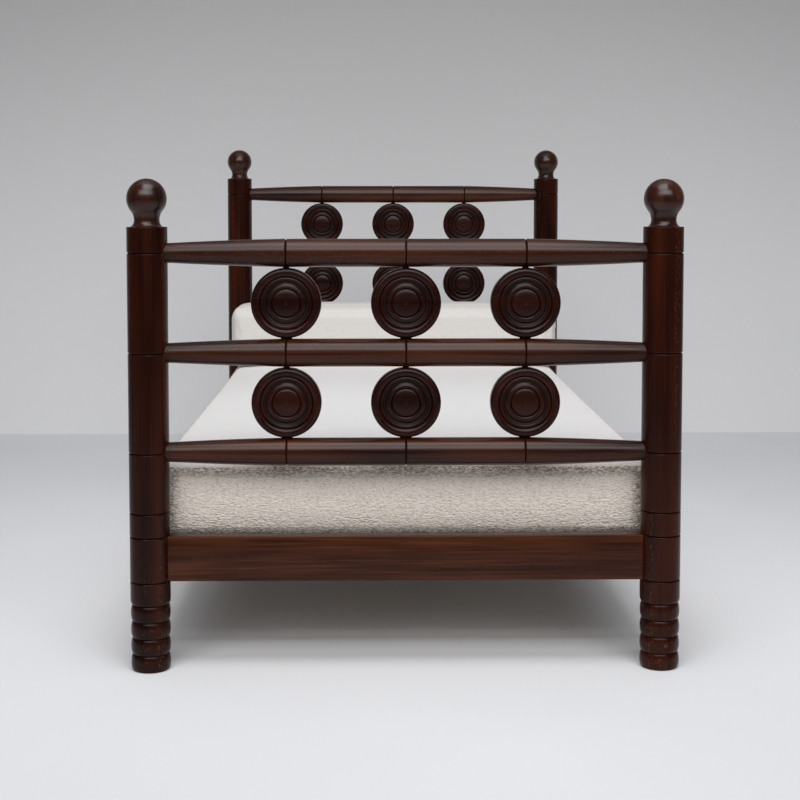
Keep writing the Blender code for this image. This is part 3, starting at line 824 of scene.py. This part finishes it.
class BED_OT_roundels(bpy.types.Operator):
    """Turn the ringed roundels with their dowels"""

    bl_idname = "bed.roundels"
    bl_label = "Turn Roundels"

    def execute(self, context):
        turnings = context.scene.bed_turnings
        finish = wood("roundel_wood_stained", context.scene.bed_colours, "roundel", ACROSS)
        for end in ENDS:
            for row_name in ROWS:
                for index in PLACES:
                    node = f"{end}_roundel_{row_name}_{index}"
                    bm = self.roundel(turnings, size_of(node))
                    bmesh.ops.translate(bm, vec=middle_of(node), verts=bm.verts)
                    add_piece(f"{node}_turned", bm, finish, "roundel_wood", node)
        return {"FINISHED"}

    def roundel(self, turnings, size):
        """A roundel on its dowel, with the small flat on which it stands."""
        radius = size.x / 2
        bm = lathe(roundel_profile(turnings, radius, size.y), turnings)
        bmesh.ops.rotate(bm, cent=(0, 0, 0), matrix=Matrix.Rotation(QUARTER, 3, "X"), verts=bm.verts)
        dowel = turnings.dowel_diameter
        root = radius - dowel / 2
        self.add_peg(bm, dowel, dowel, root, size.z / 2)
        self.add_peg(bm, dowel, dowel, -size.z / 2, -root)
        low = -radius - turnings.shoulder_rise
        self.add_peg(bm, turnings.shoulder_width, turnings.shoulder_depth, low, -root)
        return bm

    def add_peg(self, bm, width, depth, low, high):
        """A round or oval peg between two heights, dark because it lies in shade."""
        shape = Matrix.Diagonal((width, depth, high - low, 1.0))
        put = Matrix.Translation((0.0, 0.0, (low + high) / 2)) @ shape
        made = bmesh.ops.create_cone(
            bm, cap_ends=True, segments=24, radius1=0.5, radius2=0.5, depth=1.0, matrix=put
        )
        recess = bm.verts.layers.float["recess"]
        # Painted shade over the whole peg and the flat it stands on
        for vert in made["verts"]:
            vert[recess] = 1.0


class BED_OT_boards(bpy.types.Operator):
    """Plane the end boards with their tenons, and the side rails"""

    bl_idname = "bed.boards"
    bl_label = "Plane Boards"

    def execute(self, context):
        joinery = context.scene.bed_joinery
        colours = context.scene.bed_colours
        across = wood("end_board_stained", colours, "board", ACROSS)
        lengthways = wood("side_rail_stained", colours, "board", LENGTHWAYS)
        for end in ENDS:
            node = f"{end}_board"
            add_piece(f"{node}_planed", self.tenoned(joinery, *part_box(node)), across, "board_wood", node)
        for side in SIDES:
            node = f"side_rail_{side}"
            bm = planed(*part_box(node), joinery.board_ease)
            add_piece(f"{node}_planed", bm, lengthways, "board_wood", node)
        return {"FINISHED"}

    def tenoned(self, joinery, low, high):
        """A board whose ends step down to tenons, which reach the box's ends."""
        reach = Vector((joinery.tenon_length, 0.0, 0.0))
        bm = planed(low + reach, high - reach, joinery.board_ease)
        middle = (low + high) / 2
        tenon_height = high.z - low.z - 2 * joinery.tenon_shoulder
        ends = [face for face in bm.faces if abs(face.normal.x) > END_FACE]
        for face in ends:
            way = math.copysign(1.0, face.normal.x)
            bmesh.ops.inset_individual(bm, faces=[face], thickness=joinery.tenon_cheek - joinery.board_ease)
            lift = max(abs(vert.co.z - middle.z) for vert in face.verts)
            for vert in face.verts:
                vert.co.z = middle.z + (vert.co.z - middle.z) * tenon_height / 2 / lift
            grown = bmesh.ops.extrude_face_region(bm, geom=[face])
            verts = [item for item in grown["geom"] if isinstance(item, bmesh.types.BMVert)]
            bmesh.ops.translate(bm, vec=reach * way, verts=verts)
            bmesh.ops.delete(bm, geom=[face], context="FACES_ONLY")
        bmesh.ops.recalc_face_normals(bm, faces=bm.faces)
        return bm


class BED_OT_slats(bpy.types.Operator):
    """Plane the slats and their ledgers, and screw the ledgers on"""

    bl_idname = "bed.slats"
    bl_label = "Plane Slats"

    def execute(self, context):
        joinery = context.scene.bed_joinery
        colours = context.scene.bed_colours
        across = wood("slat_pine", colours, "pine", ACROSS)
        lengthways = wood("ledger_pine", colours, "pine", LENGTHWAYS)
        steel = plated_steel("screw_steel", colours.steel)
        for node in sorted(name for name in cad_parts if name.startswith("slat_")):
            ledger = node.startswith("slat_ledger")
            bm = planed(*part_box(node), joinery.slat_ease)
            add_piece(f"{node}_planed", bm, lengthways if ledger else across, "slat_wood", node)
            if ledger:
                add_piece(f"{node}_screws", self.screws(joinery, node), steel, "fitting_steel")
        return {"FINISHED"}

    def screws(self, joinery, node):
        """Round screw heads along the ledger's inner face."""
        low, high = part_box(node)
        way = -math.copysign(1.0, low.x)
        face = low.x if way < 0 else high.x
        level = (low.z + high.z) / 2
        bm = bmesh.new()
        for index in range(joinery.screw_count):
            y = low.y + (high.y - low.y) * (index + 0.5) / joinery.screw_count
            made = bmesh.ops.create_uvsphere(bm, u_segments=20, v_segments=10, radius=joinery.screw_head / 2)
            flat = Matrix.Diagonal((2 * joinery.screw_dome / joinery.screw_head, 1.0, 1.0, 1.0))
            bmesh.ops.transform(bm, matrix=Matrix.Translation((face, y, level)) @ flat, verts=made["verts"])
        return bm


class BED_OT_fittings(bpy.types.Operator):
    """Plate the hook plates and slotted plates"""

    bl_idname = "bed.fittings"
    bl_label = "Plate Fittings"

    def execute(self, context):
        steel = plated_steel("fitting_steel_plated", context.scene.bed_colours.steel)
        for name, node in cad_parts.items():
            if name.endswith(("plate_left", "plate_right")):
                node.data.materials.clear()
                node.data.materials.append(steel)
        return {"FINISHED"}


def apply_modifiers(obj):
    """Gives the object its finished mesh in place of its old one and its modifiers."""
    graph = bpy.context.evaluated_depsgraph_get()
    mesh = bpy.data.meshes.new_from_object(obj.evaluated_get(graph))
    old = obj.data
    obj.modifiers.clear()
    obj.data = mesh
    bpy.data.meshes.remove(old)


def stuffed_form(name, node, voxel, stuffing):
    """A CAD soft solid made a little smaller, remeshed evenly and blown up as cloth."""
    low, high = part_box(node)
    bm = bmesh.new()
    bm.from_mesh(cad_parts[node].data)
    bmesh.ops.remove_doubles(bm, verts=bm.verts, dist=WELD)
    size = high - low
    tuck = Vector(1 - 2 * stuffing.tuck / side for side in size)
    space = Matrix.Translation(-(low + high) / 2)
    bmesh.ops.scale(bm, vec=tuck, verts=bm.verts, space=space)
    obj = add_object(name, new_mesh(name, bm))
    remesh = obj.modifiers.new("cells", "REMESH")
    remesh.mode = "VOXEL"
    remesh.voxel_size = voxel
    apply_modifiers(obj)
    swell_as_cloth(obj, stuffing)
    finer = obj.modifiers.new("finer", "SUBSURF")
    finer.levels = 1
    finer.render_levels = 1
    apply_modifiers(obj)
    fill_space(obj, low, high, stuffing.nub_height)
    for axis, reach in enumerate((stuffing.side_sole, stuffing.end_sole)):
        square_sole(obj, low, high, axis, reach)
    return obj


def fill_space(obj, low, high, margin):
    """Draws the form out until it fills the space between two corners, less a margin for the nubs."""
    reach = [(min(values), max(values)) for values in zip(*(vert.co for vert in obj.data.vertices))]
    start = Vector([near for near, far in reach])
    side = Vector((margin, margin, 0.0))
    room = high - low - 2 * side - Vector((0.0, 0.0, margin))
    grow = Matrix.Diagonal([wide / (far - near) for wide, (near, far) in zip(room, reach)]).to_4x4()
    obj.data.transform(Matrix.Translation(low + side) @ grow @ Matrix.Translation(-start))


def square_sole(obj, low, high, axis, reach):
    """Draws the two rounded lower edges across an axis out, so that they stand square on their seat."""
    middle = (low[axis] + high[axis]) / 2
    half = (high[axis] - low[axis]) / 2
    for vert in obj.data.vertices:
        near = (low.z + reach - vert.co.z) / reach
        off = vert.co[axis] - middle
        inset = half - abs(off)
        if near > 0.0 and inset < reach:
            tight = inset + (inset * inset / reach - inset) * min(1.0, 2 * near)
            vert.co[axis] = middle + math.copysign(half - tight, off)


def round_corners(obj, low, high, radius):
    """Draws the upright corners in to a radius, seen from above."""
    middle = (low + high) / 2
    inner = (high - low) / 2 - Vector((radius, radius, 0.0))
    for vert in obj.data.vertices:
        off = vert.co - middle
        past = Vector((abs(off.x) - inner.x, abs(off.y) - inner.y))
        if past.x > 0.0 and past.y > 0.0:
            past *= max(past) / past.length
            vert.co.x = middle.x + math.copysign(inner.x + past.x, off.x)
            vert.co.y = middle.y + math.copysign(inner.y + past.y, off.y)


def swell_as_cloth(obj, stuffing):
    """Blows the form up under its cover. No point moves further than the swell."""
    scene = bpy.context.scene
    before = [vert.co.copy() for vert in obj.data.vertices]
    cloth = obj.modifiers.new("stuffing", "CLOTH")
    cloth.settings.use_pressure = True
    cloth.settings.uniform_pressure_force = stuffing.pressure
    cloth.settings.effector_weights.gravity = 0.0
    cloth.point_cache.frame_start = 1
    cloth.point_cache.frame_end = stuffing.steps
    for step in range(1, stuffing.steps + 1):
        scene.frame_set(step)
    apply_modifiers(obj)
    for vert, start in zip(obj.data.vertices, before):
        move = vert.co - start
        if move.length > stuffing.swell:
            vert.co = start + move.normalized() * stuffing.swell
    scene.frame_set(1)


def raise_nubs(obj, low, stuffing):
    """Lifts the cover into uneven nubs, and keeps the underside flat on what carries it."""
    normals = [corner.vector.copy() for corner in obj.data.vertex_normals]
    for vert, normal in zip(obj.data.vertices, normals):
        nub = noise.noise(vert.co / stuffing.nub_size)
        vert.co += normal * nub * stuffing.nub_height
        if normal.z < FACES_DOWN:
            vert.co.z = low
        vert.co.z = max(vert.co.z, low)


def mark_nap_and_top_shade(obj, sides, top):
    """Marks how far the loops stand up on the sides and on the smoother top. The same mark sets the cloth's
    tone: warmer sides with painted bounce light, and a greyer, dimmer top as painted shade.
    """
    marks = obj.data.attributes.new("nap", "FLOAT", "POINT")
    for mark, corner in zip(marks.data, obj.data.vertex_normals):
        level = max(0.0, (corner.vector.z - FACES_UP) / (1 - FACES_UP))
        mark.value = sides + (top - sides) * min(1.0, level)


def paint_edge_shade(obj, low, high, stuffing):
    """Marks painted shade below the top edges, above the lower edges and beside the upright corners, drawn as
    the cloth's darker ground between its loops.
    """
    middle = (low + high) / 2
    half = high - middle
    marks = obj.data.attributes.new("parted", "FLOAT", "POINT")
    for mark, vert, corner in zip(marks.data, obj.data.vertices, obj.data.vertex_normals):
        off = vert.co - middle
        inset = max(half.x - abs(off.x), half.y - abs(off.y)) - stuffing.corner_full_shade
        away = min(
            (high.z - vert.co.z) / stuffing.top_shade_band,
            (vert.co.z - low.z) / stuffing.sole_shade_band,
            inset / stuffing.corner_shade_band,
        )
        if corner.vector.z < FACES_UP:
            mark.value = min(stuffing.edge_shade_most, max(0.0, EDGE_SHADE_SLOPE * (1 - away)))


def finish_soft(obj, node, material, stuffing):
    """Gives a soft form its nubs and its cover, attaches it to the bed and hides its CAD solid."""
    raise_nubs(obj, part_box(node)[0].z, stuffing)
    obj.data.materials.append(material)
    obj.data.shade_smooth()
    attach(obj, BODY)
    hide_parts(node)


class BED_OT_mattress(bpy.types.Operator):
    """Stuff and cover the mattress"""

    bl_idname = "bed.mattress"
    bl_label = "Stuff Mattress"

    def execute(self, context):
        stuffing = context.scene.bed_stuffing
        colours = context.scene.bed_colours
        cloth = looped_cloth("mattress_boucle", colours.cream, colours.brushed, stuffing.loop_size)
        mattress = stuffed_form("mattress_stuffed", "mattress", stuffing.mattress_voxel, stuffing)
        round_corners(mattress, *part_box("mattress"), stuffing.corner)
        mark_nap_and_top_shade(mattress, stuffing.side_nap_and_bounce, stuffing.top_nap_and_shade)
        paint_edge_shade(mattress, *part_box("mattress"), stuffing)
        finish_soft(mattress, "mattress", cloth, stuffing)
        self.sag(mattress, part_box("mattress")[0].z, stuffing)
        return {"FINISHED"}

    def sag(self, mattress, sole, stuffing):
        """Lets the sole sag towards the side rails, which lie a little lower than the slats."""
        rail_low, rail_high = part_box("side_rail_right")
        drop = (sole - rail_high.z) * stuffing.sag
        for vert in mattress.data.vertices:
            near = 1 - (vert.co.z - sole) / stuffing.side_sole
            if abs(vert.co.x) > rail_low.x and near > 0.0:
                vert.co.z -= drop * near


class BED_OT_bolster(bpy.types.Operator):
    """Stuff and cover the bolster"""

    bl_idname = "bed.bolster"
    bl_label = "Stuff Bolster"

    def execute(self, context):
        stuffing = context.scene.bed_stuffing
        colours = context.scene.bed_colours
        cloth = looped_cloth("bolster_boucle", colours.cream, colours.bolster, stuffing.loop_size)
        bolster = stuffed_form("bolster_stuffed", "bolster", stuffing.bolster_voxel, stuffing)
        self.settle(bolster, *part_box("bolster"), stuffing.settle)
        mark_nap_and_top_shade(bolster, stuffing.top_nap_and_shade, stuffing.top_nap_and_shade)
        finish_soft(bolster, "bolster", cloth, stuffing)
        return {"FINISHED"}

    def settle(self, bolster, low, high, drop):
        """Lets the bolster down, the furthest at its top."""
        for vert in bolster.data.vertices:
            vert.co.z -= drop * (vert.co.z - low.z) / (high.z - low.z)


def matt_paint(name):
    """Matt paint for the stage, still without its colour."""
    material, tree, shader = start_material(name)
    set_inputs(tree, shader, {"Roughness": 0.9, "Specular IOR Level": 0.1})
    return material, tree, shader


def add_panel(name, where, size, tilt, energy, grid):
    """A soft panel with a grid. It shines down, and its tilt turns it towards the head end."""
    light = bpy.data.lights.new(name, "AREA")
    light.shape = "RECTANGLE"
    light.size, light.size_y = size
    light.energy = energy
    light.spread = grid
    obj = add_object(name, light)
    obj.location = where
    obj.rotation_euler = (tilt, 0.0, 0.0)
    obj.visible_camera = False


class BED_OT_studio(bpy.types.Operator):
    """Set the floor, backdrop, lights and camera"""

    bl_idname = "bed.studio"
    bl_label = "Set Studio"

    def execute(self, context):
        studio = context.scene.bed_studio
        self.add_floor(studio)
        self.add_wall(studio)
        self.light_room(context.scene, studio)
        self.add_camera(context.scene, studio)
        context.scene.view_settings.view_transform = "Standard"
        return {"FINISHED"}

    def add_floor(self, studio):
        """A floor with the faint unevenness of a rolled coat."""
        bm = bmesh.new()
        bmesh.ops.create_grid(bm, x_segments=1, y_segments=1, size=FLOOR_HALF)
        material, tree, shader = matt_paint("studio_floor")
        cloud = spread(tree, noise_value(tree, object_space(tree), scale=1.3), 0.3, 0.7)
        tone = mix(tree, cloud, opaque(studio.floor, PAINT_DIM), opaque(studio.floor))
        set_inputs(tree, shader, {"Base Color": tone})
        add_mesh("studio_floor", bm, material)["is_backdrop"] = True

    def add_wall(self, studio):
        """A backdrop behind the head end, which doesn't show from behind, greyed higher up by painted shade.
        """
        bm = bmesh.new()
        bmesh.ops.create_grid(bm, x_segments=1, y_segments=1, size=WALL_HALF)
        stand = Matrix.Translation((0.0, studio.wall_distance, WALL_HALF)) @ Matrix.Rotation(QUARTER, 4, "X")
        bmesh.ops.transform(bm, matrix=stand, verts=bm.verts)
        material, tree, shader = matt_paint("studio_backdrop")
        # Painted shade: the backdrop turns greyer between the two heights
        height = add_node(tree, "ShaderNodeSeparateXYZ", {0: object_space(tree)}).outputs["Z"]
        rise = spread(tree, height, studio.wall_shade_start, studio.wall_shade_full)
        tone = mix(tree, rise, opaque(studio.wall), opaque(studio.wall_high_shade))
        set_inputs(tree, shader, {"Base Color": tone})
        clear = add_node(tree, "ShaderNodeBsdfTransparent")
        behind = add_node(tree, "ShaderNodeNewGeometry").outputs["Backfacing"]
        both = add_node(tree, "ShaderNodeMixShader", {0: behind, 1: shader.outputs[0], 2: clear.outputs[0]})
        set_inputs(tree, tree.nodes["Material Output"], {"Surface": both.outputs[0]})
        add_mesh("studio_backdrop", bm, material)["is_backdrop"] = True

    def light_room(self, scene, studio):
        """Three panels, and a room that gives a little light from all sides."""
        for name in PANELS:
            settings = [getattr(studio, f"{name}_{word}") for word in ("place", "size", "tilt", "power")]
            add_panel(f"{name}_panel", *settings, studio.grid)
        world = bpy.data.worlds.new("studio_room")
        world.use_nodes = True
        tree = world.node_tree
        set_inputs(tree, tree.nodes["Background"], {"Color": opaque(studio.room), "Strength": 1.0})
        scene.world = world

    def add_camera(self, scene, studio):
        data = bpy.data.cameras.new("camera")
        data.lens = studio.lens
        data.sensor_width = SENSOR
        data.shift_y = studio.shift
        camera = add_object("camera", data)
        camera.location = studio.camera_place
        camera.rotation_euler = (QUARTER - studio.camera_tilt, 0.0, -studio.camera_turn)
        scene.camera = camera


class BED_PT_pieces(bpy.types.Panel):
    """The bed's pieces, in the order in which they are made"""

    bl_idname = "BED_PT_pieces"
    bl_label = "Turned Bed"
    bl_space_type = "VIEW_3D"
    bl_region_type = "UI"
    bl_category = "Bed"

    def draw(self, context):
        for operator in OPERATORS:
            self.layout.operator(operator.bl_idname)
        for name in GROUPS:
            settings = getattr(context.scene, name)
            box = self.layout.box()
            for key in settings.bl_rna.properties.keys():
                if key not in ("rna_type", "name"):
                    box.prop(settings, key)


OPERATORS = (
    BED_OT_posts,
    BED_OT_finials,
    BED_OT_rails,
    BED_OT_roundels,
    BED_OT_boards,
    BED_OT_slats,
    BED_OT_fittings,
    BED_OT_mattress,
    BED_OT_bolster,
    BED_OT_studio,
)
GROUPS = {
    "bed_turnings": BedTurnings,
    "bed_joinery": BedJoinery,
    "bed_stuffing": BedStuffing,
    "bed_colours": BedColours,
    "bed_studio": BedStudio,
}
CLASSES = (*GROUPS.values(), *OPERATORS, BED_PT_pieces)


def register():
    for cls in CLASSES:
        bpy.utils.register_class(cls)
    for name, group in GROUPS.items():
        setattr(bpy.types.Scene, name, bpy.props.PointerProperty(type=group))


def unregister():
    for name in GROUPS:
        delattr(bpy.types.Scene, name)
    for cls in reversed(CLASSES):
        bpy.utils.unregister_class(cls)


def main():
    register()
    bpy.ops.bed.posts()
    bpy.ops.bed.finials()
    bpy.ops.bed.rails()
    bpy.ops.bed.roundels()
    bpy.ops.bed.boards()
    bpy.ops.bed.slats()
    bpy.ops.bed.fittings()
    bpy.ops.bed.mattress()
    bpy.ops.bed.bolster()
    bpy.ops.bed.studio()
    boxes = {"cad": CAD_BOX, "visual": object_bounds()}
    {name: [list(corner) for corner in box] for name, box in boxes.items()}


if __name__ == "__main__":
    main()
